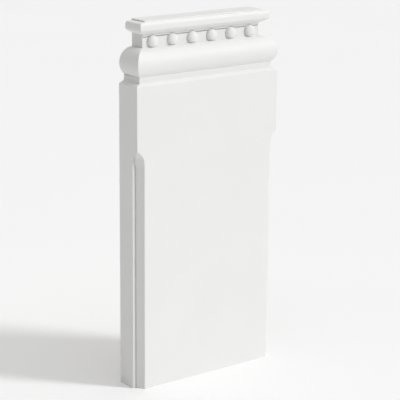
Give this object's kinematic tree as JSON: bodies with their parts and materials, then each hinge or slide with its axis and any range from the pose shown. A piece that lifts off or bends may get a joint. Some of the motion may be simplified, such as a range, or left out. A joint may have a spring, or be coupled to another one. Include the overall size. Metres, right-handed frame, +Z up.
{
  "type": "pilaster base",
  "caption": "Moulded base for a flat wall pilaster: tall plinth block with stopped chamfers, torus, beaded neck and cap, cut off flat at the back.",
  "frame": {"origin": "middle of the bounding box's underside, on the floor", "axes": "+Z up, from the block to the cap; -Y out of the carved front; +Y into the wall behind the flat back; +X to the right as seen from the front"},
  "size_m": [0.2, 0.0364, 0.4254],
  "materials": {
    "primed_foam": "factory coat of matt white primer on rigid moulded foam, smooth, with softly rounded arrises"
  },
  "bodies": {
    "root": {"pilaster_base": "primed_foam"}
  },
  "joints": []
}
